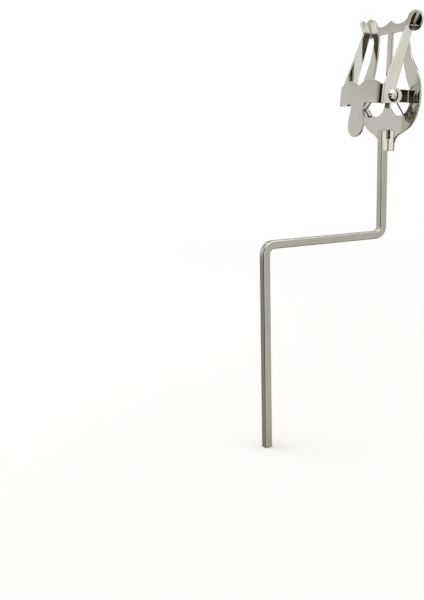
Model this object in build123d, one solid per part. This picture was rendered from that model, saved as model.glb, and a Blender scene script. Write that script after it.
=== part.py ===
from build123d import *
import os
from math import asin, atan2, cos, degrees, hypot, radians, sin, tan

# Clip-on music lyre for a wind instrument, in millimetres.
#
# A square stem with two bends carries a stamped lyre plate. A sprung jaw
# swings on a rivet between two lugs of the plate and nips the music card
# between its arms and the horns of the plate.
#
# +Z runs up the stem, +Y from the foot of the stem to the head, X across.
# The origin is the centre of the stem's lower end face.

# ---- driving dimensions: stem ------------------------------------------------
STEM_SIDE = 5.0             # square section
STEM_CORNER = 0.7           # radius on the four long edges
STEM_END_CHAMFER = 0.3
LOWER_LEG = 130.0           # lower end to centreline of the arm
ARM_REACH = 90.0            # centreline to centreline of the legs
UPPER_LEG = 67.4            # centreline of the arm to top end
LOWER_BEND = 6.0            # centreline radius, leg to arm
UPPER_BEND = 5.5            # centreline radius, arm to leg

# ---- driving dimensions: lyre plate (u across, w up from the stem's top) -------
PLATE_THICK = 1.4
PLATE_LEAN = 2.0            # degrees that the plate leans back from the stem
CROWN_RADIUS = 300.0        # the plate is crowned towards the player
BOWL_HALF = 28.8            # half width at the widest place
SHOULDER_HALF = 26.4        # half width where the arms leave the bowl
WAIST_HALF = 17.4           # half width of the arms at the waist
HORN_HALF = 21.2            # centre of each rounded horn
HORN_UP = 64.9
HORN_RADIUS = 6.2
VALLEY_HALF = 7.9           # lowest place of the top edge, each side
VALLEY_UP = 64.8
PEAK_UP = 67.7              # pointed middle of the top edge
BAR_UP = 59.6               # lower edge of the cross bar
STRING_WIDTH = 4.6          # strip left standing in the middle
SCALLOP_UP = 8.5            # lowest place of the windows
SCALLOP_HALF = 11.0
TONGUE_HALF = 7.5           # tongue brazed to the back of the stem
TONGUE_DOWN = 13.4
SHEET_SPARE = 5.2           # blank left outside the bowl before it is cut out

# ---- driving dimensions: jaw -----------------------------------------------------
JAW_THICK = 1.2
JAW_HALF = 21.0             # half width over the ears
JAW_BEND = 1.4              # fold radius in the middle of the sheet
WEB_FRONT = 23.6            # front of the web ahead of the plate, at the pin
WEB_LEAN = 4.5              # degrees that the web's foot stands out
WEB_CROWN = 150.0           # crown radius of the web
WING_HIGH = 12.0            # height of the two side wings
LEAF_UP = 10.0              # top of the upper leaves above the pin
NOTCH_UP = 6.2              # notch between the leaves above the pin
STALK_HALF = 6.3
THUMB_HALF = 7.9            # half width of the lower thumb leaf
THUMB_DOWN = 24.9           # its foot below the pin
ARM_WIDE = 5.6              # width of each arm at its flare
FLARE_UP = 41.0             # start of the flare above the pin
TIP_UP = 50.2               # top of the tips above the pin
FLARE_ANGLE = 30.0
FLARE_RADIUS = 6.0

# ---- driving dimensions: hinge and spring ------------------------------------------
PIN_FORWARD = 12.8          # pin centre ahead of the plate
PIN_UP = 20.0               # pin centre above the stem's top
PIN_RADIUS = 1.6
HEAD_RADIUS = 3.9           # domed rivet heads
HEAD_HIGH = 2.0
LUG_RADIUS = 3.9            # rounded end of each lug, and half its height
EAR_RADIUS = 4.5            # rounded rear end of each ear
EAR_BACK = 2.4              # centre of that end behind the pin
EAR_TURN = 95.0             # degrees, where the arm's rear edge meets that end
LUG_FOLD = 1.5              # fold radius in the middle of the sheet
WIRE_RADIUS = 0.4
COIL_RADIUS = 2.5           # to the middle of the wire
COIL_TURNS = 9
COIL_PITCH = 1.0
SPRING_FOOT_UP = 8.3        # where the rear legs press on the plate
SPRING_NOSE_HALF = 3.0      # where the front legs press on the web
SPRING_NOSE_DOWN = 11.0     # below the pin
HOOK_LONG = 2.0             # turned end of each leg

# ---- driving dimensions: braze -------------------------------------------------------
BRAZE_LEG = 1.6
BRAZE_LONG = 5.5

# ---- clearances --------------------------------------------------------------------------
RUN_FIT = 0.05              # radial, ear holes on the pin
SIDE_PLAY = 0.3             # ear to lug
HEAD_PLAY = 0.1             # rivet head to ear
REST_GAP = 0.3              # jaw arms and spring legs to the plate at rest

# ---- derived -------------------------------------------------------------------------------
STEM_TOP = LOWER_LEG + UPPER_LEG
STEM_BACK = ARM_REACH + STEM_SIDE / 2
EAR_MID = JAW_HALF - JAW_THICK / 2
LUG_MID = JAW_HALF - JAW_THICK - SIDE_PLAY - PLATE_THICK / 2
LUG_INNER = LUG_MID - PLATE_THICK / 2
PIN_FACE = JAW_HALF + HEAD_PLAY
COIL_END = LUG_INNER - REST_GAP - WIRE_RADIUS - COIL_PITCH / 2
SHEET_END = BOWL_HALF + SHEET_SPARE

# where the fold of each lug runs tangent into the crowned plate
FOLD_TURN = asin((LUG_MID + LUG_FOLD) / (CROWN_RADIUS + LUG_FOLD))
FOLD_U = CROWN_RADIUS * sin(FOLD_TURN)


def crown_drop(u, radius):
    """How far a crowned surface falls back from its middle, at u."""
    return radius - (radius ** 2 - u ** 2) ** 0.5


def plate_depth(u):
    """How far the plate's front surface lies behind its middle, at u."""
    return crown_drop(u, CROWN_RADIUS)


def crown_point(u):
    """Point of the plate's middle surface, in plan."""
    return (u, PLATE_THICK / 2 + plate_depth(u), 0)


def on_head(shape):
    """Carry a shape from the head's own frame to its place on the stem."""
    return Location((0, STEM_BACK, STEM_TOP), (-PLATE_LEAN, 0, 0)) * shape


def front_prism(outline, near, far):
    """Solid with this outline in the front view, from v = near to v = far."""
    face = make_face(outline)
    slab = extrude(face, amount=far - near, dir=(0, 1, 0))
    return Pos(0, near, 0) * slab


def side_prism(outline, near, far):
    """Solid with this outline in the side view, from u = near to u = far."""
    face = make_face(outline)
    slab = extrude(face, amount=far - near, dir=(1, 0, 0))
    return Pos(near, 0, 0) * slab


def mirrored(curves):
    """The curves and their mirror images about u = 0."""
    return Curve() + curves + [mirror(curve, Plane.YZ) for curve in curves]


def sheet_along(path, thick, low, high):
    """Upright sheet of this thickness whose middle follows a path in plan."""
    start = path @ 0
    along = path % 0
    section = Plane(origin=(start.X, start.Y, low), x_dir=(-along.Y, along.X, 0), z_dir=along)
    blank = section * Rectangle(thick, high - low, align=(Align.CENTER, Align.MIN))
    return sweep(blank, path=Pos(0, 0, low) * path)


def u_w(u, w):
    """Point in the front view."""
    return (u, 0, w)


def v_w(v, w):
    """Point in the side view."""
    return (0, v, w)


# ---- stem ------------------------------------------------------------------------------------
def stem_rod():
    """Square stem: lower leg, arm and upper leg, drawn as one bent bar."""
    arm_z = LOWER_LEG
    path = FilletPolyline(
        (0, 0, 0), (0, 0, arm_z), (0, ARM_REACH, arm_z), (0, ARM_REACH, STEM_TOP),
        radius=[LOWER_BEND, UPPER_BEND],
    )
    section = RectangleRounded(STEM_SIDE, STEM_SIDE, STEM_CORNER)
    bar = sweep(section, path=path)
    ends = bar.faces().sort_by(Axis.Z)
    rims = ends[0].edges() + ends[-1].edges()
    return chamfer(rims, STEM_END_CHAMFER)


def braze_fillets():
    """Two short fillets of braze between the stem's sides and the tongue."""
    beads = []
    for side in (-1, 1):
        edge = side * STEM_SIDE / 2
        corner = (edge, STEM_BACK, STEM_TOP - STEM_END_CHAMFER)
        profile = make_face(
            Curve() + [
                Line(corner, (edge, STEM_BACK - BRAZE_LEG, corner[2])),
                RadiusArc(
                    (edge, STEM_BACK - BRAZE_LEG, corner[2]),
                    (edge + side * BRAZE_LEG, STEM_BACK, corner[2]),
                    side * BRAZE_LEG * 1.1,
                ),
                Line((edge + side * BRAZE_LEG, STEM_BACK, corner[2]), corner),
            ]
        )
        beads.append(extrude(profile, amount=BRAZE_LONG, dir=(0, 0, -1)))
    return Compound(children=beads)


# ---- lyre plate ---------------------------------------------------------------------------------
def plate_sheet(low, high):
    """Crowned blank of the plate."""
    path = ThreePointArc(crown_point(-SHEET_END), crown_point(0), crown_point(SHEET_END))
    return sheet_along(path, PLATE_THICK, low, high)


def horn_curves():
    """Right half of the top edge: waist, rounded horn, valley and middle peak."""
    under, crest = radians(239), radians(118)
    horn = ThreePointArc(
        u_w(HORN_HALF + HORN_RADIUS * cos(under), HORN_UP + HORN_RADIUS * sin(under)),
        u_w(HORN_HALF + HORN_RADIUS, HORN_UP),
        u_w(HORN_HALF + HORN_RADIUS * cos(crest), HORN_UP + HORN_RADIUS * sin(crest)),
    )
    shoulder = Spline(
        horn @ 1, u_w(HORN_HALF - 1.15 * HORN_RADIUS, VALLEY_UP + 1.6),
        u_w(VALLEY_HALF, VALLEY_UP), u_w(0, PEAK_UP),
        tangents=[horn % 1, (-1, 0, 0.62)],
    )
    return horn, shoulder


def outer_outline():
    """Right half of the plate's outer edge, from the tongue to the middle peak."""
    horn, shoulder = horn_curves()
    foot = Line(u_w(0, -TONGUE_DOWN), u_w(TONGUE_HALF, -TONGUE_DOWN))
    neck = Line(u_w(TONGUE_HALF, -TONGUE_DOWN), u_w(TONGUE_HALF + 0.3, -TONGUE_DOWN * 0.6))
    side = Spline(
        neck @ 1,
        u_w(BOWL_HALF * 0.46, -2.7),
        u_w(BOWL_HALF * 0.8, 3.2),
        u_w(BOWL_HALF, PIN_UP - 0.5),
        u_w(SHOULDER_HALF, PIN_UP + 13.0),
        u_w(WAIST_HALF + 1.8, BAR_UP - 14.2),
        u_w(WAIST_HALF, BAR_UP - 7.5),
        horn @ 0,
        tangents=[(0.1, 0, 1), (0.75, 0, 1)],
    )
    return [foot, neck, side, horn, shoulder]


def window_outline():
    """Window between the string and the right arm, with its scalloped foot."""
    string = STRING_WIDTH / 2
    corner = u_w(string, BAR_UP)
    bar_end = u_w(11.3, BAR_UP)
    lug_top = u_w(FOLD_U, PIN_UP + LUG_RADIUS + REST_GAP)
    lug_foot = u_w(FOLD_U, PIN_UP - LUG_RADIUS - REST_GAP)
    cusp = u_w(string, 16.2)
    arm = Spline(
        bar_end, u_w(11.9, 48.0), u_w(14.4, 37.0), lug_top, tangents=[(0, 0, -1), (0.75, 0, -1)]
    )
    scallop = ThreePointArc(lug_foot, u_w(SCALLOP_HALF, SCALLOP_UP), cusp)
    return [
        Line(corner, bar_end), arm, Line(lug_top, lug_foot), scallop, Line(cusp, corner),
    ]


def lug():
    """Right lug: folded forward from the window's edge, rounded about the pin."""
    fold_end = crown_point(FOLD_U)
    bend_v = fold_end[1] - LUG_FOLD * cos(FOLD_TURN)
    centre = (LUG_MID + LUG_FOLD, bend_v)
    half_turn = (radians(90) + FOLD_TURN) / 2
    mid = (centre[0] - LUG_FOLD * sin(half_turn), centre[1] + LUG_FOLD * cos(half_turn))
    front = -PIN_FORWARD - LUG_RADIUS
    path = Wire([
        Line((LUG_MID, front, 0), (LUG_MID, bend_v, 0)),
        ThreePointArc((LUG_MID, bend_v, 0), (*mid, 0), fold_end),
        ThreePointArc(
            fold_end, crown_point(FOLD_U + PLATE_THICK / 2), crown_point(FOLD_U + PLATE_THICK)
        ),
    ])
    strip = sheet_along(path, PLATE_THICK, PIN_UP - LUG_RADIUS, PIN_UP + LUG_RADIUS)
    disc = Pos(0, -PIN_FORWARD, PIN_UP) * Rot(0, 90, 0) * Cylinder(LUG_RADIUS, 4 * LUG_MID)
    body = Pos(0, -PIN_FORWARD, PIN_UP) * Box(
        4 * LUG_MID, 4 * PIN_FORWARD, 2 * LUG_RADIUS, align=(Align.CENTER, Align.MIN, Align.CENTER)
    )
    return strip & (disc + body)


def pin_hole(radius):
    """Cutter for a hole on the pin's axis."""
    return Pos(0, -PIN_FORWARD, PIN_UP) * Rot(0, 90, 0) * Cylinder(radius, 4 * JAW_HALF)


def lyre_plate():
    """Stamped plate with two lugs; the front of its tongue is flat on the stem's back."""
    depth = 4 * PLATE_THICK + plate_depth(BOWL_HALF)
    outline = front_prism(mirrored(outer_outline()), -depth, depth)
    window = front_prism(window_outline(), -depth, depth)
    high = HORN_UP + 2 * HORN_RADIUS
    blank = plate_sheet(-2 * TONGUE_DOWN, high) & outline
    blank = blank - window - mirror(window, Plane.YZ)
    right = lug()
    plate = blank + [right, mirror(right, Plane.YZ)] - pin_hole(PIN_RADIUS)
    seat = Pos(0, STEM_BACK, STEM_TOP + PLATE_THICK) * Box(
        2 * SHEET_END, SHEET_END, SHEET_END, align=(Align.CENTER, Align.MAX, Align.MAX)
    )
    return on_head(plate) - seat


# ---- jaw -------------------------------------------------------------------------------------------
def web_front(w):
    """v of the web's front surface at mid width, at height w."""
    return -WEB_FRONT - (PIN_UP - w) * tan(radians(WEB_LEAN))


def jaw_web():
    """Clover-shaped front of the jaw, with a fold at each side."""
    crown_half = EAR_MID - JAW_BEND
    mid_v = JAW_THICK / 2
    side_v = mid_v + crown_drop(crown_half, WEB_CROWN)
    ear_v = side_v + JAW_BEND
    fold = radians(45)
    fold_u = EAR_MID - JAW_BEND + JAW_BEND * sin(fold)
    fold_v = ear_v - JAW_BEND * cos(fold)
    stub_v = ear_v + JAW_THICK
    path = Wire([
        Line((-EAR_MID, stub_v, 0), (-EAR_MID, ear_v, 0)),
        ThreePointArc((-EAR_MID, ear_v, 0), (-fold_u, fold_v, 0), (-crown_half, side_v, 0)),
        ThreePointArc((-crown_half, side_v, 0), (0, mid_v, 0), (crown_half, side_v, 0)),
        ThreePointArc((crown_half, side_v, 0), (fold_u, fold_v, 0), (EAR_MID, ear_v, 0)),
        Line((EAR_MID, ear_v, 0), (EAR_MID, stub_v, 0)),
    ])
    high = LEAF_UP + THUMB_DOWN + 4 * JAW_THICK
    foot = PIN_UP - THUMB_DOWN - 2 * JAW_THICK
    strip = sheet_along(path, JAW_THICK, 0, high)
    section = strip.faces().sort_by(Axis.Z)[0]
    lean = radians(WEB_LEAN)
    sheet = extrude(section, amount=high / cos(lean), dir=(0, sin(lean), cos(lean)))
    sheet = Pos(0, web_front(foot), foot) * sheet
    reach = 4 * WEB_FRONT
    return sheet & front_prism(mirrored(web_outline()), -reach, reach)


def web_outline():
    """Right half of the clover: notch, upper leaf, wing, stalk and thumb leaf."""
    wing_top = PIN_UP + WING_HIGH * 0.58
    wing_foot = wing_top - WING_HIGH
    past = JAW_HALF + JAW_THICK
    leaf = Spline(
        u_w(0, PIN_UP + NOTCH_UP), u_w(4.4, PIN_UP + LEAF_UP - 0.9), u_w(12.0, PIN_UP + LEAF_UP),
        u_w(JAW_HALF - JAW_BEND, wing_top),
        tangents=[(0.8, 0, 1), (1, 0, -0.5)],
    )
    under = u_w(STALK_HALF + 3.4, wing_foot + 0.9)
    armpit = Spline(
        under, u_w(STALK_HALF, wing_foot - 1.9), tangents=[(-1, 0, 0.1), (0, 0, -1)]
    )
    thumb_w = PIN_UP - THUMB_DOWN + THUMB_HALF
    thumb = Spline(
        armpit @ 1, u_w(THUMB_HALF * 0.97, thumb_w + THUMB_HALF * 0.45), u_w(THUMB_HALF, thumb_w),
        tangents=[(0, 0, -1), (0, 0, -1)],
    )
    half = THUMB_HALF * sin(radians(45))
    foot = ThreePointArc(
        thumb @ 1, u_w(half, thumb_w - half), u_w(0, PIN_UP - THUMB_DOWN)
    )
    return [
        leaf,
        Line(leaf @ 1, u_w(past, wing_top)),
        Line(u_w(past, wing_top), u_w(past, wing_foot)),
        Line(u_w(past, wing_foot), under),
        armpit,
        thumb,
        foot,
    ]


def jaw_side():
    """Right ear and arm: one strip in the side view, flared out at its tip."""
    wing_top = PIN_UP + WING_HIGH * 0.58
    wing_foot = wing_top - WING_HIGH
    fold_back = JAW_THICK / 2 + crown_drop(EAR_MID - JAW_BEND, WEB_CROWN) + JAW_BEND
    top_front = web_front(wing_top) + fold_back
    foot_front = web_front(wing_foot) + fold_back
    flare_w = PIN_UP + FLARE_UP
    tip_w = PIN_UP + TIP_UP
    rear_v = plate_depth(EAR_MID) - REST_GAP
    front_v = rear_v - ARM_WIDE
    tip_rear = rear_v - 0.9
    tip_round = ARM_WIDE / 2 - 0.45
    ear_turn = radians(EAR_TURN)
    ear_v = EAR_BACK - PIN_FORWARD
    ear_top = v_w(ear_v + EAR_RADIUS * cos(ear_turn), PIN_UP + EAR_RADIUS * sin(ear_turn))
    outline = Curve() + [
        Line(v_w(foot_front, wing_foot), v_w(top_front, wing_top)),
        Line(v_w(top_front, wing_top), v_w(front_v, flare_w)),
        Line(v_w(front_v, flare_w), v_w(front_v, tip_w - tip_round)),
        ThreePointArc(
            v_w(front_v, tip_w - tip_round),
            v_w((front_v + tip_rear) / 2, tip_w),
            v_w(tip_rear, tip_w - tip_round),
        ),
        Line(v_w(tip_rear, tip_w - tip_round), v_w(rear_v, flare_w)),
        Line(v_w(rear_v, flare_w), ear_top),
        ThreePointArc(
            ear_top, v_w(ear_v + EAR_RADIUS, PIN_UP), v_w(ear_v, PIN_UP - EAR_RADIUS)
        ),
        Line(v_w(ear_v, PIN_UP - EAR_RADIUS), v_w(foot_front, wing_foot)),
    ]
    flare = radians(FLARE_ANGLE)
    arc_u = EAR_MID + FLARE_RADIUS * (1 - cos(flare))
    arc_w = flare_w + FLARE_RADIUS * sin(flare)
    half = flare / 2
    long = 2 * (TIP_UP - FLARE_UP)
    path = Wire([
        Line((EAR_MID, wing_foot - EAR_RADIUS, 0), (EAR_MID, flare_w, 0)),
        ThreePointArc(
            (EAR_MID, flare_w, 0),
            (EAR_MID + FLARE_RADIUS * (1 - cos(half)), flare_w + FLARE_RADIUS * sin(half), 0),
            (arc_u, arc_w, 0),
        ),
        Line((arc_u, arc_w, 0), (arc_u + long * sin(flare), arc_w + long * cos(flare), 0)),
    ])
    reach = 2 * WEB_FRONT
    strip = Rot(90, 0, 0) * sheet_along(path, JAW_THICK, -reach, reach)
    return strip & side_prism(outline, 0, 3 * JAW_HALF)


def clamp_jaw():
    """Sprung jaw, stamped and folded from one sheet, in its closed position."""
    right = jaw_side()
    jaw = jaw_web() + right + mirror(right, Plane.YZ)
    return on_head(jaw - pin_hole(PIN_RADIUS + RUN_FIT))


# ---- hinge ----------------------------------------------------------------------------------------------
def hinge_pin():
    """Rivet across the head, with a domed head outside each ear."""
    dome_radius = (HEAD_RADIUS ** 2 + HEAD_HIGH ** 2) / (2 * HEAD_HIGH)
    slope = asin(HEAD_RADIUS / dome_radius) / 2
    centre = PIN_FACE + HEAD_HIGH - dome_radius
    half = Curve() + [
        Line((0, 0), (PIN_RADIUS, 0)),
        Line((PIN_RADIUS, 0), (PIN_RADIUS, PIN_FACE)),
        Line((PIN_RADIUS, PIN_FACE), (HEAD_RADIUS, PIN_FACE)),
        ThreePointArc(
            (HEAD_RADIUS, PIN_FACE),
            (dome_radius * sin(slope), centre + dome_radius * cos(slope)),
            (0, PIN_FACE + HEAD_HIGH),
        ),
        Line((0, PIN_FACE + HEAD_HIGH), (0, 0)),
    ]
    half_pin = revolve(make_face(half), axis=Axis.Y)
    pin = half_pin + mirror(half_pin, Plane.XZ)
    return on_head(Pos(0, -PIN_FORWARD, PIN_UP) * Rot(0, 0, -90) * pin)


def torsion_spring():
    """Right spring: a coil on the pin, a rear leg on the plate and a front leg on the web."""
    foot_v = plate_depth(LUG_MID) - REST_GAP - WIRE_RADIUS
    nose_w = PIN_UP - SPRING_NOSE_DOWN
    nose_back = crown_drop(SPRING_NOSE_HALF, WEB_CROWN) + JAW_THICK + WIRE_RADIUS
    nose_v = web_front(nose_w) + nose_back + 2 * REST_GAP
    rear_turn = tangent_angle(foot_v, SPRING_FOOT_UP, -1) - 90
    front_turn = tangent_angle(nose_v, nose_w, 1) + 90
    turns = COIL_TURNS + ((front_turn - rear_turn) % 360) / 360
    frame = Plane(
        origin=(COIL_END, -PIN_FORWARD, PIN_UP),
        x_dir=(0, cos(radians(rear_turn)), sin(radians(rear_turn))),
        z_dir=(-1, 0, 0),
    )
    coil = frame * Helix(COIL_PITCH, COIL_PITCH * turns, COIL_RADIUS, lefthand=True)
    start, end = coil @ 0, coil @ 1
    rear_long = hypot(foot_v - start.Y, SPRING_FOOT_UP - start.Z)
    foot = start - (coil % 0) * rear_long
    hook = foot + Vector(HOOK_LONG, 0, HOOK_LONG / 2)
    knee = end + (coil % 1) * COIL_RADIUS
    nose = Vector(SPRING_NOSE_HALF, nose_v, nose_w)
    curl = nose + Vector(-HOOK_LONG / 2, HOOK_LONG / 2, -HOOK_LONG)
    rear = FilletPolyline(hook, foot, start, radius=2 * WIRE_RADIUS)
    front = FilletPolyline(end, knee, nose, curl, radius=2 * WIRE_RADIUS)
    path = Wire(rear.edges() + coil.edges() + front.edges())
    return sweep(Plane(origin=path @ 0, z_dir=path % 0) * Circle(WIRE_RADIUS), path=path)


def tangent_angle(v, w, side):
    """Direction, in the side view, of the line from (v, w) that touches the coil."""
    across = -PIN_FORWARD - v
    up = PIN_UP - w
    return degrees(atan2(up, across)) + side * degrees(asin(COIL_RADIUS / hypot(across, up)))


os.makedirs("parts", exist_ok=True)
right_spring = torsion_spring()
NODES = {
    "stem_rod": stem_rod(),
    "braze_fillets": braze_fillets(),
    "lyre_plate": lyre_plate(),
    "clamp_jaw": clamp_jaw(),
    "hinge_pin": hinge_pin(),
    "torsion_spring_right": on_head(right_spring),
    "torsion_spring_left": on_head(mirror(right_spring, Plane.YZ)),
}
for name, shape in NODES.items():
    export_step(shape, f"parts/{name}.step")
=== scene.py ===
"""Clip-on music lyre of bright nickel-plated steel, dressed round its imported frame.

Lengths are in millimetres in the pieces' fields and in metres in the meshes
and the studio. The row frame has +Z up the stem, +Y from the stem's foot to the
head and X across the lyre. The head has its own frame (u across, v back, w up),
which leans back by a small angle from the stem's top.
"""

from __future__ import annotations

import logging
import math
from dataclasses import dataclass, field
from enum import Enum
from typing import Callable, Iterable

import bmesh
import bpy
from mathutils import Matrix, Vector

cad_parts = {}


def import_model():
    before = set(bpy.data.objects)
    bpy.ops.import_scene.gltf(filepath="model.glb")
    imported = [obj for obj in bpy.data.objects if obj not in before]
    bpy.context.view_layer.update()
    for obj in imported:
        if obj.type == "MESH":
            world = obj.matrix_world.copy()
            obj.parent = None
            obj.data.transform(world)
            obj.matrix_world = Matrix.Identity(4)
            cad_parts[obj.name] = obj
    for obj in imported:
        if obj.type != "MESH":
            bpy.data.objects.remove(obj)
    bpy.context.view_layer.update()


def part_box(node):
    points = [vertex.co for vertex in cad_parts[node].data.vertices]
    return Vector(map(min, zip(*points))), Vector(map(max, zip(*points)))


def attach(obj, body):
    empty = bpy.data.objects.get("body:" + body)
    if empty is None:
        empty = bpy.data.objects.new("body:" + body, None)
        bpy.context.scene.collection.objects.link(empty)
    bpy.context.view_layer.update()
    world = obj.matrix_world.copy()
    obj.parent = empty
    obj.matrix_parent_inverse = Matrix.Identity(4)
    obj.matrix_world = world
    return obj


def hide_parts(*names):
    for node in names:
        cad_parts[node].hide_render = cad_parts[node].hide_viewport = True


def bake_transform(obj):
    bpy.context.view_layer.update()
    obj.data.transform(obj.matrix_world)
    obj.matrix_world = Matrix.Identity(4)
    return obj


MM = 0.001
# points of the frame's meshes that are this close are one point
FRAME_GAP = 0.0015 * MM
# points this close to a cutting plane lie on it, and new points this close are one point
TOOL_GAP = 0.002 * MM
# triangles of the frame that meet at less than this angle make one flat face
FLAT_BEND = math.radians(0.06)
# a face whose normal has this share along the sheet's facing is one of its two broad sides
BROAD_FACING = 0.9
# a face of the cut edge has at most this share; its facets meet at less than this angle
WALL_FACING = 0.2
WALL_BEND = math.radians(12)
# an edge across the sheet leans by at most this share
WALL_SLANT = 0.0005
# material index that marks the broad faces while a sheet is being built
MARK = 1
# faces across a rounded or chamfered edge
EDGE_STEPS = 3
# how strongly the larger faces decide the shading at an edge, out of 100
FLAT_WEIGHT = 80
LOG = logging.getLogger("music_lyre")


class Body(str, Enum):
    """The two rigid bodies of the frame."""

    LYRE = "lyre"
    JAW = "jaw"


class Side(Enum):
    """The two sides of the head, as the sign of u."""

    RIGHT = 1
    LEFT = -1


# ---- colour and node helpers ----
def linear(code: str) -> tuple[float, float, float, float]:
    """Turn an sRGB hex colour into linear RGBA.

    Args:
        code: Six hex digits, with or without a leading hash.

    Returns:
        Linear red, green, blue and an alpha of one.
    """
    digits = code.lstrip("#")
    channels = [int(digits[i : i + 2], 16) / 255 for i in (0, 2, 4)]
    curve = [c / 12.92 if c <= 0.04045 else ((c + 0.055) / 1.055) ** 2.4 for c in channels]
    return (*curve, 1.0)


def glow_of(code: str, level: float) -> tuple[float, float, float, float]:
    """Return an sRGB hex colour as linear light, its level times as bright."""
    red, green, blue, alpha = linear(code)
    return (red * level, green * level, blue * level, alpha)


def add_node(
    tree: bpy.types.NodeTree,
    kind: str,
    inputs: dict[object, object] | None = None,
    **settings: object,
) -> bpy.types.Node:
    """Add a node with its settings, socket values and incoming links.

    Args:
        tree: The node tree to add to.
        kind: The node's type name.
        inputs: Socket name or index to a value, or to an output socket to link.
        **settings: Attributes of the node itself.

    Returns:
        The new node.
    """
    node = tree.nodes.new(kind)
    for name, value in settings.items():
        setattr(node, name, value)
    for key, value in (inputs or {}).items():
        if isinstance(value, bpy.types.NodeSocket):
            tree.links.new(value, node.inputs[key])
        else:
            node.inputs[key].default_value = value
    return node


def new_tree(name: str) -> tuple[bpy.types.Material, bpy.types.NodeTree]:
    """Make an empty node material.

    Args:
        name: The material's name.

    Returns:
        The material and its node tree.
    """
    material = bpy.data.materials.new(name)
    material.use_nodes = True
    material.node_tree.nodes.clear()
    return material, material.node_tree


# ---- finishes ----
@dataclass(frozen=True)
class NickelPlate:
    """Bright nickel electroplate over buffed steel.

    Nickel is a warmer, slightly darker mirror than chrome. Buffing leaves
    hairlines along the work, and handling leaves faint dull smudges.
    """

    colour: str = "#D4D2CB"
    worn: str = "#D0CDC5"
    roughness: float = 0.045
    # a thumb's smudge; the noise is clean below the first level and dull above the second
    smudge_mm: float = 9.0
    smudge_levels: tuple[float, float] = (0.48, 0.72)
    smudge_roughness: float = 0.035
    # buffing lines are some 0.05 mm apart; drawn three times as coarse, to show
    hairline_mm: float = 0.15
    # how many times as long a line is as it is wide
    hairline_stretch: float = 22.0
    hairline_depth_mm: float = 0.0006
    hairline_roughness: float = 0.02
    # the sheet's rolled skin under the plate is slightly uneven
    ripple_mm: float = 7.0
    ripple_depth_mm: float = 0.004

    def material(self, name: str, along: tuple[float, float, float]) -> bpy.types.Material:
        """Build the plated finish.

        Args:
            name: The material's name.
            along: Euler angles that turn the buffing lines, in radians.

        Returns:
            The material.
        """
        material, tree = new_tree(name)
        place = add_node(tree, "ShaderNodeTexCoord").outputs["Object"]
        turned = add_node(
            tree, "ShaderNodeMapping", {"Vector": place, "Rotation": along}
        ).outputs["Vector"]
        stretched = add_node(
            tree,
            "ShaderNodeMapping",
            {"Vector": turned, "Scale": (1, 1, 1 / self.hairline_stretch)},
        ).outputs["Vector"]
        hairline, smudge, ripple = (
            add_node(
                tree,
                "ShaderNodeTexNoise",
                {"Vector": spread, "Scale": 1 / (size_mm * MM), "Detail": detail},
            ).outputs["Fac"]
            for spread, size_mm, detail in (
                (stretched, self.hairline_mm, 2.0),
                (place, self.smudge_mm, 4.0),
                (place, self.ripple_mm, 1.0),
            )
        )
        clean, smudged = self.smudge_levels
        patch = add_node(
            tree,
            "ShaderNodeMapRange",
            {"Value": smudge, "From Min": clean, "From Max": smudged},
            interpolation_type="SMOOTHSTEP",
        ).outputs["Result"]
        colour = add_node(
            tree,
            "ShaderNodeMix",
            {0: patch, 6: linear(self.colour), 7: linear(self.worn)},
            data_type="RGBA",
        ).outputs[2]
        dull = add_node(
            tree,
            "ShaderNodeMapRange",
            {
                "Value": patch,
                "To Min": self.roughness,
                "To Max": self.roughness + self.smudge_roughness,
            },
        ).outputs["Result"]
        rough = add_node(
            tree,
            "ShaderNodeMath",
            {0: hairline, 1: self.hairline_roughness, 2: dull},
            operation="MULTIPLY_ADD",
        ).outputs["Value"]
        waves = add_node(
            tree,
            "ShaderNodeBump",
            {"Strength": 1.0, "Distance": self.ripple_depth_mm * MM, "Height": ripple},
        ).outputs["Normal"]
        lines = add_node(
            tree,
            "ShaderNodeBump",
            {
                "Strength": 1.0,
                "Distance": self.hairline_depth_mm * MM,
                "Height": hairline,
                "Normal": waves,
            },
        ).outputs["Normal"]
        shader = add_node(
            tree,
            "ShaderNodeBsdfPrincipled",
            {"Base Color": colour, "Metallic": 1.0, "Roughness": rough, "Normal": lines},
        )
        add_node(tree, "ShaderNodeOutputMaterial", {"Surface": shader.outputs[0]})
        return material


@dataclass(frozen=True)
class SpringWire:
    """Drawn music wire, oil-blackened: a dark metal with a soft, mottled sheen."""

    colour: str = "#6E6A64"
    shade: str = "#3B3936"
    smoothest: float = 0.24
    roughest: float = 0.4
    # the mottling of the oil film
    grain_mm: float = 0.5
    grain_depth_mm: float = 0.01

    def material(self, name: str) -> bpy.types.Material:
        """Build the drawn-wire finish.

        Args:
            name: The material's name.

        Returns:
            The material.
        """
        material, tree = new_tree(name)
        place = add_node(tree, "ShaderNodeTexCoord").outputs["Object"]
        grain = add_node(
            tree,
            "ShaderNodeTexNoise",
            {"Vector": place, "Scale": 1 / (self.grain_mm * MM), "Detail": 3.0},
        ).outputs["Fac"]
        colour = add_node(
            tree,
            "ShaderNodeMix",
            {0: grain, 6: linear(self.colour), 7: linear(self.shade)},
            data_type="RGBA",
        ).outputs[2]
        rough = add_node(
            tree,
            "ShaderNodeMapRange",
            {"Value": grain, "To Min": self.smoothest, "To Max": self.roughest},
        ).outputs["Result"]
        bump = add_node(
            tree,
            "ShaderNodeBump",
            {"Strength": 0.4, "Distance": self.grain_depth_mm * MM, "Height": grain},
        ).outputs["Normal"]
        shader = add_node(
            tree,
            "ShaderNodeBsdfPrincipled",
            {"Base Color": colour, "Metallic": 1.0, "Roughness": rough, "Normal": bump},
        )
        add_node(tree, "ShaderNodeOutputMaterial", {"Surface": shader.outputs[0]})
        return material


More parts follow.
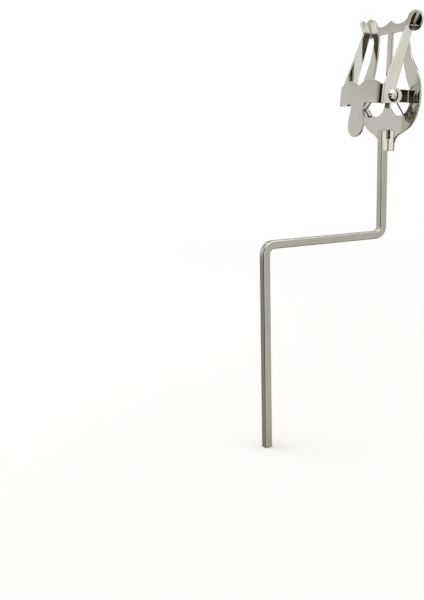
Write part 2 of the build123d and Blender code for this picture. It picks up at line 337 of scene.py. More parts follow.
@dataclass(frozen=True)
class PlatedBraze:
    """Silver braze under nickel plate: a lumpy, satin fillet with small pits, darkened by painted
    shade.
    """

    colour: str = "#A9A294"
    # darker colour painted into the pits as their shade
    painted_pit_shade: str = "#57524A"
    roughness: float = 0.26
    lump_mm: float = 0.7
    lump_depth_mm: float = 0.12
    # the lumps' noise is a pit below the first level and full metal above the second; the pits
    # get painted shade
    pit_levels: tuple[float, float] = (0.35, 0.6)

    def material(self, name: str) -> bpy.types.Material:
        """Build the braze finish.

        Args:
            name: The material's name.

        Returns:
            The material.
        """
        material, tree = new_tree(name)
        place = add_node(tree, "ShaderNodeTexCoord").outputs["Object"]
        lump = add_node(
            tree,
            "ShaderNodeTexNoise",
            {"Vector": place, "Scale": 1 / (self.lump_mm * MM), "Detail": 3.0},
        ).outputs["Fac"]
        deep, full = self.pit_levels
        pit_shade_mask = add_node(
            tree,
            "ShaderNodeMapRange",
            {"Value": lump, "From Min": deep, "From Max": full, "To Min": 1.0, "To Max": 0.0},
            interpolation_type="SMOOTHSTEP",
        ).outputs["Result"]
        # mix the painted shade into the hollows of the lumps
        colour = add_node(
            tree,
            "ShaderNodeMix",
            {0: pit_shade_mask, 6: linear(self.colour), 7: linear(self.painted_pit_shade)},
            data_type="RGBA",
        ).outputs[2]
        bump = add_node(
            tree,
            "ShaderNodeBump",
            {"Strength": 0.8, "Distance": self.lump_depth_mm * MM, "Height": lump},
        ).outputs["Normal"]
        shader = add_node(
            tree,
            "ShaderNodeBsdfPrincipled",
            {"Base Color": colour, "Metallic": 1.0, "Roughness": self.roughness, "Normal": bump},
        )
        add_node(tree, "ShaderNodeOutputMaterial", {"Surface": shader.outputs[0]})
        return material


# ---- mesh helpers ----
@dataclass(frozen=True)
class HeadFrame:
    """The head's own frame: where it stands, how it leans and where its rivet is."""

    reach: float = 92.5
    height: float = 197.4
    # degrees back from upright
    lean: float = 2.0
    pin_forward: float = 12.8
    pin_up: float = 20.0

    def matrix(self) -> Matrix:
        """Return the head frame to row frame matrix, in metres."""
        place = Matrix.Translation((0, self.reach * MM, self.height * MM))
        return place @ Matrix.Rotation(math.radians(-self.lean), 4, "X")

    def facing(self) -> Vector:
        """Return the direction of v, through the head's sheets, in the row frame."""
        return self.matrix().to_3x3() @ Vector((0, 1, 0))


def crown_drop(u: float, radius: float) -> float:
    """Return how far a crowned surface of this radius falls back at u."""
    return radius - math.sqrt(radius**2 - u**2)


def skin_of(node: bpy.types.Object) -> bmesh.types.BMesh:
    """Copy a frame node's mesh, joined up and with its flat faces whole.

    Args:
        node: The frame node to copy.

    Returns:
        A new bmesh.
    """
    skin = bmesh.new()
    skin.from_mesh(node.data)
    bmesh.ops.remove_doubles(skin, verts=skin.verts, dist=FRAME_GAP)
    bmesh.ops.dissolve_limit(
        skin,
        angle_limit=FLAT_BEND,
        use_dissolve_boundaries=False,
        verts=skin.verts,
        edges=skin.edges,
        delimit=set(),
    )
    return skin


def join_walls(skin: bmesh.types.BMesh, head: HeadFrame, reach: tuple[float, float]) -> None:
    """Join each triangle pair of a sheet's cut edge, so that its facets run straight across.

    Args:
        skin: The sheet's mesh.
        head: The head's frame, whose v runs through the sheet's thickness.
        reach: Least and greatest v of the cut edges to join.
    """
    to_head = head.matrix().inverted()
    facing = head.facing()
    slanted = []
    for edge in skin.edges:
        start, end = (to_head @ v.co / MM for v in edge.verts)
        near, far = sorted((start.y, end.y))
        if not edge.is_manifold or near < reach[0] or far > reach[1]:
            continue
        walls = all(abs(f.normal.dot(facing)) < WALL_FACING for f in edge.link_faces)
        straight = abs((end - start).normalized().y) > 1 - WALL_SLANT
        if walls and not straight and edge.calc_face_angle() < WALL_BEND:
            slanted.append(edge)
    bmesh.ops.dissolve_edges(skin, edges=slanted, use_verts=False)


def round_edges(skin: bmesh.types.BMesh, radius: float, above: float) -> set[bmesh.types.BMFace]:
    """Round every edge that is sharper than a given angle.

    Args:
        skin: The mesh to round.
        radius: Width of the rounding, in millimetres.
        above: The least angle between an edge's faces, in degrees.

    Returns:
        The faces of the roundings.
    """
    limit = math.radians(above)
    sharp = [e for e in skin.edges if e.is_manifold and e.calc_face_angle() > limit]
    made = bmesh.ops.bevel(
        skin,
        geom=sharp,
        offset=radius * MM,
        offset_type="OFFSET",
        segments=EDGE_STEPS,
        profile=0.5,
        affect="EDGES",
        material=-1,
        clamp_overlap=False,
        loop_slide=False,
    )
    return set(made["faces"])


def mark_broad_faces(
    skin: bmesh.types.BMesh, roundings: set[bmesh.types.BMFace], facing: Vector, within: float
) -> None:
    """Mark the broad faces, front and back, by their material index.

    Args:
        skin: The mesh.
        roundings: Faces that are never marked.
        facing: The direction that the sheet faces.
        within: Greatest X of a marked face's middle, in millimetres.
    """
    for face in skin.faces:
        broad = abs(face.normal.dot(facing)) > BROAD_FACING
        inside = abs(face.calc_center_median().x) < within * MM
        face.material_index = MARK if broad and inside and face not in roundings else 0


def slice_marked(skin: bmesh.types.BMesh, cuts: Iterable[float]) -> list[bmesh.types.BMVert]:
    """Cut the marked faces by planes of constant X.

    Args:
        skin: The mesh to cut.
        cuts: X of each plane, in millimetres.

    Returns:
        The marked faces' points.
    """
    for cut in cuts:
        marked = [f for f in skin.faces if f.material_index == MARK]
        edges = dict.fromkeys(e for f in marked for e in f.edges)
        verts = dict.fromkeys(v for f in marked for v in f.verts)
        bmesh.ops.bisect_plane(
            skin,
            geom=[*verts, *edges, *marked],
            dist=TOOL_GAP,
            plane_co=(cut * MM, 0, 0),
            plane_no=(1, 0, 0),
        )
    marked = [f for f in skin.faces if f.material_index == MARK]
    for face in marked:
        face.material_index = 0
    return list(dict.fromkeys(v for f in marked for v in f.verts))


def finish_piece(
    name: str,
    shape: bmesh.types.BMesh,
    material: bpy.types.Material,
    weighted: bool = True,
) -> bpy.types.Object:
    """Turn a bmesh into a smooth-shaded object with one material.

    Args:
        name: The piece's name.
        shape: The mesh, in the row frame; it is freed.
        material: The piece's finish.
        weighted: Let large faces decide the shading, so that flats stay flat.

    Returns:
        The new object, linked to the scene.
    """
    mesh = bpy.data.meshes.new(name)
    for face in shape.faces:
        face.smooth = True
    shape.to_mesh(mesh)
    shape.free()
    piece = bpy.data.objects.new(name, mesh)
    bpy.context.scene.collection.objects.link(piece)
    mesh.materials.append(material)
    if weighted:
        shading = piece.modifiers.new("flat_faces_stay_flat", "WEIGHTED_NORMAL")
        shading.mode = "FACE_AREA"
        shading.weight = FLAT_WEIGHT
    return piece


# ---- stem ----
@dataclass
class Stem:
    """Square bar with two bends, from the holder up to the head.

    Its legs and its arm are measured along the middle line, corner to corner.
    """

    side: float = 5.0
    corner: float = 0.7
    lower_leg: float = 130.0
    arm: float = 90.0
    upper_leg: float = 67.4
    lower_bend: float = 6.0
    upper_bend: float = 5.5
    end_chamfer: float = 0.3
    corner_steps: int = 6
    bend_steps: int = 28
    # equal lengths in the straight runs, from the foot up
    run_pieces: tuple[int, int, int] = (8, 6, 4)

    def section(self, bar: bmesh.types.BMesh) -> bmesh.types.BMFace:
        """Make the rounded square section at the stem's foot.

        Args:
            bar: The mesh to make it in.

        Returns:
            The section's face.
        """
        made = bmesh.ops.create_grid(bar, x_segments=1, y_segments=1, size=self.side / 2 * MM)
        bmesh.ops.bevel(
            bar,
            geom=made["verts"],
            offset=self.corner * MM,
            segments=self.corner_steps,
            profile=0.5,
            affect="VERTICES",
            material=-1,
        )
        return next(iter(bar.faces))

    def run(
        self, bar: bmesh.types.BMesh, end: bmesh.types.BMFace, step: Vector, pieces: int
    ) -> bmesh.types.BMFace:
        """Extrude the end face of the bar straight on.

        Args:
            bar: The mesh so far.
            end: Its end face.
            step: The whole run, in millimetres.
            pieces: How many equal lengths to make it in.

        Returns:
            The new end face.
        """
        for _ in range(pieces):
            made = bmesh.ops.extrude_face_region(bar, geom=[end])["geom"]
            verts = [v for v in made if isinstance(v, bmesh.types.BMVert)]
            end = next(f for f in made if isinstance(f, bmesh.types.BMFace))
            bmesh.ops.translate(bar, verts=verts, vec=step * (MM / pieces))
        return end

    def bend(
        self, bar: bmesh.types.BMesh, end: bmesh.types.BMFace, centre: Vector, turn: float
    ) -> bmesh.types.BMFace:
        """Turn the end face of the bar about a bend's centre.

        Args:
            bar: The mesh so far.
            end: Its end face.
            centre: A point on the bend's axis, in millimetres.
            turn: Angle about +X, in degrees.

        Returns:
            The new end face.
        """
        made = bmesh.ops.spin(
            bar,
            geom=[end],
            cent=centre * MM,
            axis=(1, 0, 0),
            angle=math.radians(turn),
            steps=self.bend_steps,
            use_merge=False,
        )
        return next(f for f in made["geom_last"] if isinstance(f, bmesh.types.BMFace))

    def build(self, finish: bpy.types.Material) -> bpy.types.Object:
        """Build the bar.

        Args:
            finish: Its material.

        Returns:
            The stem piece.
        """
        bar = bmesh.new()
        end = self.section(bar)
        in_leg, in_arm, in_top = self.run_pieces
        lower_run = self.lower_leg - self.lower_bend
        arm_run = self.arm - self.lower_bend - self.upper_bend
        end = self.run(bar, end, Vector((0, 0, lower_run)), in_leg)
        end = self.bend(bar, end, Vector((0, self.lower_bend, lower_run)), -90)
        end = self.run(bar, end, Vector((0, arm_run, 0)), in_arm)
        corner = Vector((0, self.arm - self.upper_bend, self.lower_leg + self.upper_bend))
        end = self.bend(bar, end, corner, 90)
        self.run(bar, end, Vector((0, 0, self.upper_leg - self.upper_bend)), in_top)
        # each run and bend leaves the section that it started from inside the bar
        inner = [f for f in bar.faces if all(len(e.link_faces) > 2 for e in f.edges)]
        bmesh.ops.delete(bar, geom=inner, context="FACES_ONLY")
        # only the two end faces have more than four corners
        rims = [e for e in bar.edges if any(len(f.verts) > 4 for f in e.link_faces)]
        bmesh.ops.bevel(
            bar,
            geom=rims,
            offset=self.end_chamfer * MM,
            segments=EDGE_STEPS,
            profile=0.5,
            affect="EDGES",
            material=-1,
        )
        bmesh.ops.recalc_face_normals(bar, faces=bar.faces)
        piece = finish_piece("stem", bar, finish)
        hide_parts("stem_rod")
        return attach(piece, Body.LYRE.value)


# ---- sheets: the lyre plate and the jaw ----
@dataclass
class CrownedSheet:
    """Stamped sheet whose broad faces are crowned across, about an upright axis.

    The frame has the crown as flats. They are cut into narrow strips, whose
    points are put back on the true curve, so that reflections run smoothly.
    """

    node: str = ""
    body: Body = Body.LYRE
    thick: float = 1.4
    crown: float = 300.0
    # how far out from the middle the crown reaches
    crown_half: int = 29
    edge_round: float = 0.28
    # the angle, in degrees, above which an edge is rounded; a bend's flats meet at less
    sharp: float = 38.0
    # width of the strips
    strip: float = 1.0
    # keeps the cuts off the sheet's own points
    first_cut: float = 0.37
    # a point this close to a crowned face belongs to it
    near: float = 0.1
    head: HeadFrame = field(default_factory=HeadFrame)

    def middle_face(self, place: Vector) -> float | None:
        """Return the v of the front face's middle line at a point, or None off the crown."""
        raise NotImplementedError

    def true_crown(self, points: list[bmesh.types.BMVert]) -> None:
        """Put the front and back faces' points exactly on the crowned surfaces.

        Args:
            points: The broad faces' points, in the row frame.
        """
        to_row = self.head.matrix()
        to_head = to_row.inverted()
        for vert in points:
            place = (to_head @ vert.co) / MM
            middle = self.middle_face(place)
            if middle is None:
                continue
            u, v, w = place
            front = middle + crown_drop(u, self.crown + self.thick / 2)
            back = middle + self.thick + crown_drop(u, self.crown - self.thick / 2)
            for face in (front, back):
                if abs(v - face) < self.near:
                    v = face
                    break
            vert.co = to_row @ (Vector((u, v, w)) * MM)

    def dress(
        self, skin: bmesh.types.BMesh, name: str, finish: bpy.types.Material
    ) -> bpy.types.Object:
        """Round the sheet's edges, true its crown and make the piece.

        Args:
            skin: The sheet's mesh; it is freed.
            name: The piece's name.
            finish: Its material.

        Returns:
            The finished piece, on its body.
        """
        roundings = round_edges(skin, self.edge_round, self.sharp)
        mark_broad_faces(skin, roundings, self.head.facing(), self.crown_half)
        cuts = range(-self.crown_half, self.crown_half)
        points = slice_marked(skin, [i * self.strip + self.first_cut for i in cuts])
        self.true_crown(points)
        piece = finish_piece(name, skin, finish)
        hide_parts(self.node)
        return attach(piece, self.body.value)


@dataclass
class LyrePlate(CrownedSheet):
    """Stamped plate: bowl, arms with horns, cross bar, string, lugs and tongue."""

    node: str = "lyre_plate"
    # the tongue is below the first, the lugs stand forward between the folds
    tongue_top: float = 1.5
    fold_at: float = 20.4
    # least and greatest v of the cut edges; the horns curl on past it
    edge_reach: tuple[float, float] = (-0.1, 4.5)

    def middle_face(self, place: Vector) -> float | None:
        """Return nought on the plate, or None on its tongue and lugs."""
        u, v, w = place
        off = w < self.tongue_top or (abs(u) < self.fold_at and v < -self.near)
        return None if off else 0.0

    def build(self, finish: bpy.types.Material) -> bpy.types.Object:
        """Build the plate with rounded edges.

        Args:
            finish: Its material.

        Returns:
            The plate piece.
        """
        skin = skin_of(bpy.data.objects[self.node])
        join_walls(skin, self.head, self.edge_reach)
        return self.dress(skin, "lyre", finish)


@dataclass
class ClampJaw(CrownedSheet):
    """Clover-shaped web with a thumb leaf, two ears and two flared arms."""

    node: str = "clamp_jaw"
    body: Body = Body.JAW
    thick: float = 1.2
    crown: float = 150.0
    crown_half: int = 19
    edge_round: float = 0.25
    # how far the web's front is ahead of the plate's at the rivet, and its lean in degrees
    web_front: float = 23.6
    web_lean: float = 4.5

    def middle_face(self, place: Vector) -> float | None:
        """Return the leaning web's front at this height, or None past its sides."""
        u, _, w = place
        below_pin = self.head.pin_up - w
        front = -self.web_front - below_pin * math.tan(math.radians(self.web_lean))
        return None if abs(u) > self.crown_half else front

    def build(self, finish: bpy.types.Material) -> bpy.types.Object:
        """Build the jaw with rounded edges.

        Args:
            finish: Its material.

        Returns:
            The jaw piece.
        """
        return self.dress(skin_of(bpy.data.objects[self.node]), "jaw", finish)


# ---- hinge ----
@dataclass
class HingePin:
    """Rivet through the head, with a set dome outside each ear."""

    radius: float = 1.6
    half_length: float = 21.1
    dome_radius: float = 3.9
    dome_height: float = 2.0
    # the dome's edge, rolled under by the setting tool
    lip: float = 0.35
    steps: int = 64
    dome_steps: int = 14
    # edges sharper than this, in radians, are shaded as edges
    crease: float = 0.9

    def profile(self) -> list[tuple[float, float]]:
        """Work out the outline of the rivet's right half.

        Returns:
            Points as (across, radius), from the middle out.
        """
        sphere = (self.dome_radius**2 + self.dome_height**2) / (2 * self.dome_height)
        centre = self.half_length + self.dome_height - sphere
        widest = math.asin(self.dome_radius / sphere)
        rim = self.lip / sphere
        line = [
            (0.0, self.radius),
            (self.half_length, self.radius),
            (self.half_length, self.dome_radius - self.lip / 2),
            (self.half_length + self.lip * 0.3, self.dome_radius - self.lip * 0.1),
        ]
        for step in range(self.dome_steps + 1):
            angle = (widest - rim) * (1 - step / self.dome_steps)
            line.append((centre + sphere * math.cos(angle), sphere * math.sin(angle)))
        return line

    def build(self, finish: bpy.types.Material) -> bpy.types.Object:
        """Build the rivet.

        Args:
            finish: Its material.

        Returns:
            The pin piece.
        """
        low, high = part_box("hinge_pin")
        centre = (low + high) / 2
        pin = bmesh.new()
        line = [pin.verts.new((x * MM, 0, r * MM)) for x, r in self.profile()]
        edges = [pin.edges.new(pair) for pair in zip(line, line[1:])]
        bmesh.ops.spin(
            pin,
            geom=[*line, *edges],
            cent=(0, 0, 0),
            axis=(1, 0, 0),
            angle=math.tau,
            steps=self.steps,
            use_merge=True,
        )
        bmesh.ops.mirror(pin, geom=[*pin.verts, *pin.edges, *pin.faces], axis="X", merge_dist=-1)
        bmesh.ops.remove_doubles(pin, verts=pin.verts, dist=TOOL_GAP)
        bmesh.ops.recalc_face_normals(pin, faces=pin.faces)
        bmesh.ops.translate(pin, verts=pin.verts, vec=centre)
        for edge in pin.edges:
            edge.smooth = not edge.is_manifold or edge.calc_face_angle() <= self.crease
        piece = finish_piece("rivet", pin, finish, weighted=False)
        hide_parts("hinge_pin")
        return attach(piece, Body.LYRE.value)


@dataclass
class WireEnd:
    """The open end of a wire that is being drawn: its ring, place and heading."""

    mesh: bmesh.types.BMesh
    ring: list[bmesh.types.BMEdge]
    place: Vector
    heading: Vector

    def forward(self, length: float) -> None:
        """Draw the wire straight on.

        Args:
            length: How far, in metres.
        """
        made = bmesh.ops.extrude_edge_only(self.mesh, edges=self.ring)["geom"]
        step = self.heading * length
        verts = [v for v in made if isinstance(v, bmesh.types.BMVert)]
        bmesh.ops.translate(self.mesh, verts=verts, vec=step)
        self.ring = [
            e
            for e in made
            if isinstance(e, bmesh.types.BMEdge) and all(v in verts for v in e.verts)
        ]
        self.place = self.place + step

    def turn_to(self, heading: Vector, radius: float, steps: int = 5) -> None:
        """Bend the wire to a new heading.

        Args:
            heading: The new direction.
            radius: Radius of the bend's centreline, in metres.
            steps: Rings in the bend.
        """
        goal = heading.normalized()
        axis = self.heading.cross(goal).normalized()
        inward = axis.cross(self.heading).normalized()
        centre = self.place + inward * radius
        angle = self.heading.angle(goal)
        made = bmesh.ops.spin(
            self.mesh,
            geom=self.ring,
            cent=centre,
            axis=axis,
            angle=angle,
            steps=steps,
            use_merge=False,
        )["geom_last"]
        self.ring = [e for e in made if isinstance(e, bmesh.types.BMEdge)]
        self.place = centre + Matrix.Rotation(angle, 3, axis) @ (self.place - centre)
        self.heading = goal

    def follow(self, corners: list[Vector], radius: float) -> None:
        """Draw the wire through corners, each rounded, to the last point.

        Args:
            corners: The points to pass, the last one being the wire's end.
            radius: Radius of each bend's centreline, in metres.
        """
        for corner, beyond in zip(corners, corners[1:]):
            ahead = (beyond - corner).normalized()
            cut = radius * math.tan(self.heading.angle(ahead) / 2)
            self.forward((corner - self.place).length - cut)
            self.turn_to(ahead, radius)
        self.forward((corners[-1] - self.place).length)
        bmesh.ops.edgeloop_fill(self.mesh, edges=self.ring)


@dataclass
class TorsionSpring:
    """Coil on the rivet, with a hooked leg on the plate and one on the web."""

    side: Side = Side.RIGHT
    # radii of the wire and of the coil's centreline
    wire: float = 0.4
    coil: float = 2.5
    turns: int = 9
    pitch: float = 1.0
    # how far from the middle the coil's outer end is
    coil_from: float = 16.9
    # where the legs bear: (v, w) in front of the plate, (u, v, w) behind the web
    foot: tuple[float, float] = (-0.11, 8.3)
    nose: tuple[float, float, float] = (3.0, -22.23, 9.0)
    hook: float = 2.0
    ring_points: int = 12
    steps_per_turn: int = 30
    head: HeadFrame = field(default_factory=HeadFrame)

    def touch_angle(self, v: float, w: float, sign: int) -> float:
        """Work out which way a straight leg runs to touch the coil.

        Args:
            v: Where the leg's far end is, from front to back.
            w: How high it is.
            sign: Which side of the coil the leg touches, 1 or -1.

        Returns:
            The direction from the leg's end to the coil, in radians from v to w.
        """
        across, up = -self.head.pin_forward - v, self.head.pin_up - w
        lean = math.asin(self.coil / math.hypot(across, up))
        return math.atan2(up, across) + sign * lean

    def leg_angles(self) -> tuple[float, float]:
        """Work out where the legs leave the coil.

        Returns:
            The rear and the front leg's angle about the pin, in radians from v to w.
        """
        rear = self.touch_angle(*self.foot, -1) - math.pi / 2
        front = self.touch_angle(*self.nose[1:], 1) + math.pi / 2
        return rear, front

    def swept(self) -> float:
        """Return the angle that the coil winds through, in radians."""
        rear, front = self.leg_angles()
        return self.turns * math.tau + (front - rear) % math.tau

    def travel(self) -> Vector:
        """Return the way along the pin from the coil's outer end to its inner one, in metres."""
        return Vector((-self.pitch * self.swept() / math.tau * MM, 0, 0))

    def pin(self) -> Vector:
        """Return the pin's middle at the coil's outer end, in metres."""
        return Vector((self.coil_from, -self.head.pin_forward, self.head.pin_up)) * MM

    def leave(self, angle: float) -> tuple[Vector, Vector]:
        """Find where the outer turn is at an angle about the pin.

        Args:
            angle: The angle, in radians from v to w.

        Returns:
            The wire's middle there, in metres, and its heading.
        """
        out = Vector((0, math.cos(angle), math.sin(angle)))
        along = Vector((0, -math.sin(angle), math.cos(angle)))
        return self.pin() + out * (self.coil * MM), along

    def wind(self, wire: bmesh.types.BMesh) -> tuple[WireEnd, WireEnd]:
        """Wind the coil, from its outer end inwards.

        Args:
            wire: The mesh to wind it in.

        Returns:
            Its outer end, heading for the plate, and its inner end, heading for the web.
        """
        rear, front = self.leg_angles()
        start, along = self.leave(rear)
        turn = Vector((0, 0, 1)).rotation_difference(along).to_matrix().to_4x4()
        ring = bmesh.ops.create_circle(
            wire,
            segments=self.ring_points,
            radius=self.wire * MM,
            matrix=Matrix.Translation(start) @ turn,
        )["verts"]
        loop = list(dict.fromkeys(e for v in ring for e in v.link_edges))
        steps = round(self.swept() / math.tau * self.steps_per_turn)
        coiled = bmesh.ops.spin(
            wire,
            geom=loop,
            cent=self.pin(),
            axis=(1, 0, 0),
            dvec=self.travel() / steps,
            angle=self.swept(),
            steps=steps,
            use_merge=False,
        )["geom_last"]
        last = [e for e in coiled if isinstance(e, bmesh.types.BMEdge)]
        tip, ahead = self.leave(front)
        return WireEnd(wire, loop, start, -along), WireEnd(wire, last, tip + self.travel(), ahead)

    def draw(self) -> bmesh.types.BMesh:
        """Draw the whole spring for its side, in the row frame.

        Returns:
            Its mesh.
        """
        wire = bmesh.new()
        outer, inner = self.wind(wire)
        # the legs' bends have a centreline radius of one wire thickness
        bend = 2 * self.wire * MM
        foot = Vector((self.coil_from, *self.foot)) * MM
        hooked = foot + Vector((self.hook, 0, self.hook / 2)) * MM
        outer.follow([foot, hooked], bend)
        knee = inner.place + inner.heading * (self.coil * MM)
        nose = Vector(self.nose) * MM
        curl = nose + Vector((-self.hook / 2, self.hook / 2, -self.hook)) * MM
        inner.follow([knee, nose, curl], bend)
        bmesh.ops.transform(wire, verts=wire.verts, matrix=self.head.matrix())
        if self.side is Side.LEFT:
            bmesh.ops.scale(wire, verts=wire.verts, vec=(-1, 1, 1))
        bmesh.ops.recalc_face_normals(wire, faces=wire.faces)
        return wire

    def build(self, finish: bpy.types.Material) -> bpy.types.Object:
        """Build the spring.

        Args:
            finish: Its material.

        Returns:
            The spring piece.
        """
        name = self.side.name.lower()
        piece = finish_piece(f"spring_{name}", self.draw(), finish, weighted=False)
        outer = self.head.matrix() @ self.pin()
        inner = self.head.matrix() @ (self.pin() + self.travel())
        outer.x *= self.side.value
        inner.x *= self.side.value
        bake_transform(piece)
        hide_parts(f"torsion_spring_{name}")
        return piece


# ---- studio ----
@dataclass(frozen=True)
class Panel:
    """One soft-edged panel of the reflection tent.

    Its angles are in degrees, and its level multiplies its colour's light.
    """

    azimuth: float
    half_width: float
    side_soft: float
    elevation: float
    half_height: float
    top_soft: float
    colour: str
    level: float = 1.0


@dataclass
class Studio:
    """Camera, pale floor, soft lights and a tent that only reflections see.

    Its lengths are in metres, the lens and its sensor in millimetres, and its
    angles in degrees.
    """

    camera_at: tuple[float, float, float] = (0.4130, -0.2520, 0.1936)
    azimuth: float = 62.521
    pitch: float = 11.344
    roll: float = -1.441
    lens: float = 47.754
    sensor: float = 36.0
    paper: str = "#F4F3F1"
    paper_radius: float = 14.0
    # the paper fades to white between these distances from the stem's foot
    paper_fade: tuple[float, float] = (0.35, 1.3)
    softbox_at: tuple[float, float, float] = (-0.5, -0.5, 1.1)
    softbox_aim: tuple[float, float, float] = (0.0, 0.05, 0.1)
    softbox_size: float = 0.9
    softbox_watts: float = 3.0
    tent_centre: tuple[float, float, float] = (0.0, 0.09, 0.2)
    tent_radius: float = 0.7
    base: str = "#FFFEFB"
    base_level: float = 0.97
    # each panel's azimuth, half width, softness, elevation, half height, softness and light
    panels: tuple[Panel, ...] = (
        # bright ceiling: the rims' highlights
        Panel(0, 181, 5, 90, 52, 12, "#FFFFFF", 1.5),
        # darker corner on the far right: a line along the sheets' rear edges
        Panel(95, 30, 8, 5, 48, 10, "#8C877D", 0.5),
        # grey cards low on the right and high behind: the stem's side and top
        Panel(35, 24, 8, -22, 23, 4, "#FFFDF8", 0.60),
        Panel(144, 34, 8, 14, 14, 4, "#FFFEFB", 0.42),
        # mid-grey wall on the left front, in four bands: the broad front faces show it
        Panel(-148, 26, 3, 8, 32, 6, "#FFFAF4", 0.61),
        Panel(-148, 26, 3, 5, 8, 4, "#FFFFFD", 0.76),
        Panel(-148, 26, 3, -8, 8, 3, "#FFFBF4", 0.58),
        Panel(-148, 26, 3, -31, 18, 2, "#F4EFE6", 0.34),
        # dark studio behind the camera: the black accents
        Panel(-72, 49, 3, -22, 50, 12, "#100E0B", 1.0),
        # between wall and dark a brown edge, broader low down, and a thin bright strip
        Panel(-124, 2, 2, -10, 34, 6, "#8A7864", 1.0),
        Panel(-127, 4, 3, -12, 17, 3, "#7A6C5C", 0.8),
        Panel(-116, 4, 2, -26, 19, 2, "#FFFFFF", 1.3),
        # lighter cards by the camera: two grey ones above and a white one below them
        Panel(-38, 14, 4, 15, 3.5, 2, "#7A7265", 0.7),
        Panel(-40, 10, 4, 4.5, 2, 0.8, "#8A8378", 0.6),
        Panel(-40, 9, 3, -1.5, 4.2, 0.8, "#FFFFFF", 1.7),
        # dark below, with a tan card in it: the lower rims and the right horn
        Panel(0, 181, 5, -90, 48, 10, "#1A1815", 1.0),
        Panel(-51, 9, 3, -36, 7, 3, "#B39C84", 1.5),
    )

    def camera(self) -> None:
        """Place the camera and make it the scene's."""
        turn, tilt, roll = (math.radians(x) for x in (self.azimuth, self.pitch, self.roll))
        ahead = math.cos(tilt)
        back = Vector((math.sin(turn) * ahead, -math.cos(turn) * ahead, math.sin(tilt)))
        right = Vector((math.cos(turn), math.sin(turn), 0))
        up = right.cross(-back)
        across = math.cos(roll) * right + math.sin(roll) * up
        upright = -math.sin(roll) * right + math.cos(roll) * up
        data = bpy.data.cameras.new("camera")
        data.lens = self.lens
        data.sensor_width = self.sensor
        data.sensor_fit = "AUTO"
        data.clip_start = 0.01
        holder = bpy.data.objects.new("camera", data)
        axes = Matrix((across, upright, back)).transposed().to_4x4()
        holder.matrix_world = Matrix.Translation(self.camera_at) @ axes
        bpy.context.scene.collection.objects.link(holder)
        bpy.context.scene.camera = holder

    def floor(self) -> None:
        """Lay a pale round floor that fades into the white surroundings."""
        material, tree = new_tree("pale_floor")
        place = add_node(tree, "ShaderNodeTexCoord").outputs["Object"]
        far = add_node(
            tree, "ShaderNodeVectorMath", {0: place}, operation="LENGTH"
        ).outputs["Value"]
        inner, outer = self.paper_fade
        fade = add_node(
            tree,
            "ShaderNodeMapRange",
            {"Value": far, "From Min": inner, "From Max": outer},
            interpolation_type="SMOOTHSTEP",
        ).outputs["Result"]
        paper = add_node(
            tree, "ShaderNodeBsdfDiffuse", {"Color": linear(self.paper), "Roughness": 0.4}
        ).outputs[0]
        white = add_node(
            tree, "ShaderNodeEmission", {"Color": linear("#FFFFFF"), "Strength": 1.0}
        ).outputs[0]
        surface = add_node(
            tree, "ShaderNodeMixShader", {0: fade, 1: paper, 2: white}
        ).outputs[0]
        add_node(tree, "ShaderNodeOutputMaterial", {"Surface": surface})
        disc = bmesh.new()
        bmesh.ops.create_circle(disc, cap_ends=True, segments=96, radius=self.paper_radius)
        floor = finish_piece("floor", disc, material, weighted=False)
        floor.visible_glossy = False

    def tent(self) -> None:
        """Hang the tent: a sphere of light and dark panels, seen by reflections only."""
        material, tree = new_tree("reflection_tent")
        place = add_node(tree, "ShaderNodeTexCoord").outputs["Object"]
        centred = add_node(
            tree,
            "ShaderNodeVectorMath",
            {0: place, 1: self.tent_centre},
            operation="SUBTRACT",
        ).outputs["Vector"]
        ray = add_node(
            tree, "ShaderNodeVectorMath", {0: centred}, operation="NORMALIZE"
        ).outputs["Vector"]
        axes = add_node(tree, "ShaderNodeSeparateXYZ", {"Vector": ray}).outputs
        round_about = add_node(
            tree, "ShaderNodeMath", {0: axes["Y"], 1: axes["X"]}, operation="ARCTAN2"
        ).outputs["Value"]
        height = add_node(
            tree, "ShaderNodeMath", {0: axes["Z"]}, operation="ARCSINE"
        ).outputs["Value"]
        colour: bpy.types.NodeSocket | tuple[float, ...] = glow_of(self.base, self.base_level)
        for panel in self.panels:
            side = (panel.azimuth, panel.half_width, panel.side_soft)
            rise = (panel.elevation, panel.half_height, panel.top_soft)
            across = self.band(tree, round_about, *side)
            upward = self.band(tree, height, *rise)
            share = add_node(
                tree, "ShaderNodeMath", {0: across, 1: upward}, operation="MULTIPLY"
            ).outputs["Value"]
            colour = add_node(
                tree,
                "ShaderNodeMix",
                {0: share, 6: colour, 7: glow_of(panel.colour, panel.level)},
                data_type="RGBA",
            ).outputs[2]
        glow = add_node(tree, "ShaderNodeEmission", {"Color": colour, "Strength": 1.0})
        add_node(tree, "ShaderNodeOutputMaterial", {"Surface": glow.outputs[0]})
        shell = bmesh.new()
        bmesh.ops.create_icosphere(
            shell,
            subdivisions=5,
            radius=self.tent_radius,
            matrix=Matrix.Translation(self.tent_centre),
        )
        tent = finish_piece("reflection_tent", shell, material, weighted=False)
        tent.visible_camera = False
        tent.visible_diffuse = False
        tent.visible_shadow = False
        tent.visible_transmission = False

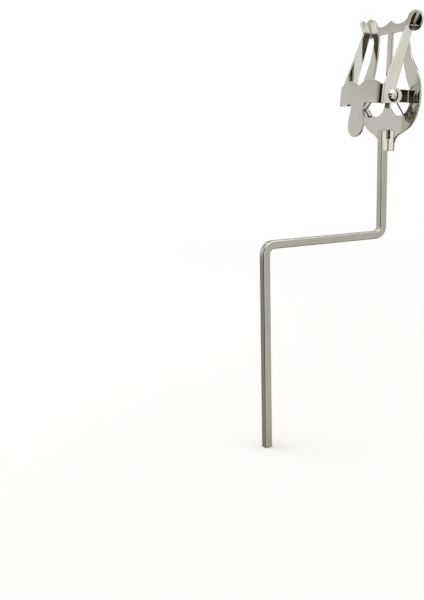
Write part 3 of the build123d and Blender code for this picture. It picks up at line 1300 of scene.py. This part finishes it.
    @staticmethod
    def band(
        tree: bpy.types.NodeTree,
        angle: bpy.types.NodeSocket,
        middle: float,
        half: float,
        soft: float,
    ) -> bpy.types.NodeSocket:
        """Return a soft-edged band of an angle.

        Args:
            tree: The tent's node tree.
            angle: The angle, in radians.
            middle: The band's middle, in degrees.
            half: Half its width, in degrees.
            soft: Half the width of its soft edge, in degrees.

        Returns:
            A socket that is one inside the band and nought outside.
        """
        off = add_node(
            tree, "ShaderNodeMath", {0: angle, 1: math.radians(middle)}, operation="SUBTRACT"
        ).outputs["Value"]
        wrapped = add_node(
            tree, "ShaderNodeMath", {0: off, 1: math.pi, 2: -math.pi}, operation="WRAP"
        ).outputs["Value"]
        away = add_node(
            tree, "ShaderNodeMath", {0: wrapped}, operation="ABSOLUTE"
        ).outputs["Value"]
        return add_node(
            tree,
            "ShaderNodeMapRange",
            {
                "Value": away,
                "From Min": math.radians(half - soft),
                "From Max": math.radians(half + soft),
                "To Min": 1.0,
                "To Max": 0.0,
            },
            interpolation_type="SMOOTHSTEP",
        ).outputs["Result"]

    def lights(self) -> None:
        """Light the floor with white surroundings and one large soft light."""
        world = bpy.data.worlds.new("white_surroundings")
        world.use_nodes = True
        world.node_tree.nodes.clear()
        sky = add_node(
            world.node_tree,
            "ShaderNodeBackground",
            {"Color": linear("#FFFFFF"), "Strength": 1.0},
        )
        add_node(world.node_tree, "ShaderNodeOutputWorld", {"Surface": sky.outputs[0]})
        bpy.context.scene.world = world
        data = bpy.data.lights.new("softbox", "AREA")
        data.shape = "SQUARE"
        data.size = self.softbox_size
        data.energy = self.softbox_watts
        box = bpy.data.objects.new("softbox", data)
        box.location = self.softbox_at
        aim = Vector(self.softbox_aim) - box.location
        box.rotation_euler = aim.to_track_quat("-Z", "Y").to_euler()
        box.visible_glossy = False
        bpy.context.scene.collection.objects.link(box)

    def build(self) -> None:
        """Set up the whole studio."""
        self.camera()
        self.floor()
        self.tent()
        self.lights()
        bpy.context.scene.view_settings.view_transform = "Standard"


def dress_braze(finish: bpy.types.Material) -> bpy.types.Object:
    """Give the frame's own braze fillets their finish.

    Args:
        finish: Their material.

    Returns:
        The fillets' node.
    """
    node = bpy.data.objects["braze_fillets"]
    for slot in node.material_slots:
        slot.material = finish
    return node


def main() -> None:
    """Build the lyre, its finishes and the studio, and report each piece."""
    logging.basicConfig(level=logging.INFO, format="%(name)s: %(message)s")
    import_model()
    plate = NickelPlate()
    # the bar and the rivet are buffed straight, the sheets at a slant
    straight = (0.0, 0.0, 0.0)
    slanted = (0.0, math.radians(18), 0.0)
    bar = plate.material("nickel_plate_stem", straight)
    sheet = plate.material("nickel_plate_sheet", slanted)
    rivet = plate.material("nickel_plate_rivet", straight)
    wire = SpringWire().material("spring_wire")
    steps: list[Callable[[], bpy.types.Object]] = [
        lambda: Stem().build(bar),
        lambda: LyrePlate().build(sheet),
        lambda: ClampJaw().build(sheet),
        lambda: HingePin().build(rivet),
        lambda: TorsionSpring(Side.RIGHT).build(wire),
        lambda: TorsionSpring(Side.LEFT).build(wire),
        lambda: dress_braze(PlatedBraze().material("plated_braze")),
    ]
    for step in steps:
        piece = step()
        LOG.info("%s: %d faces", piece.name, len(piece.data.polygons))
    Studio().build()


if __name__ == "__main__":
    main()
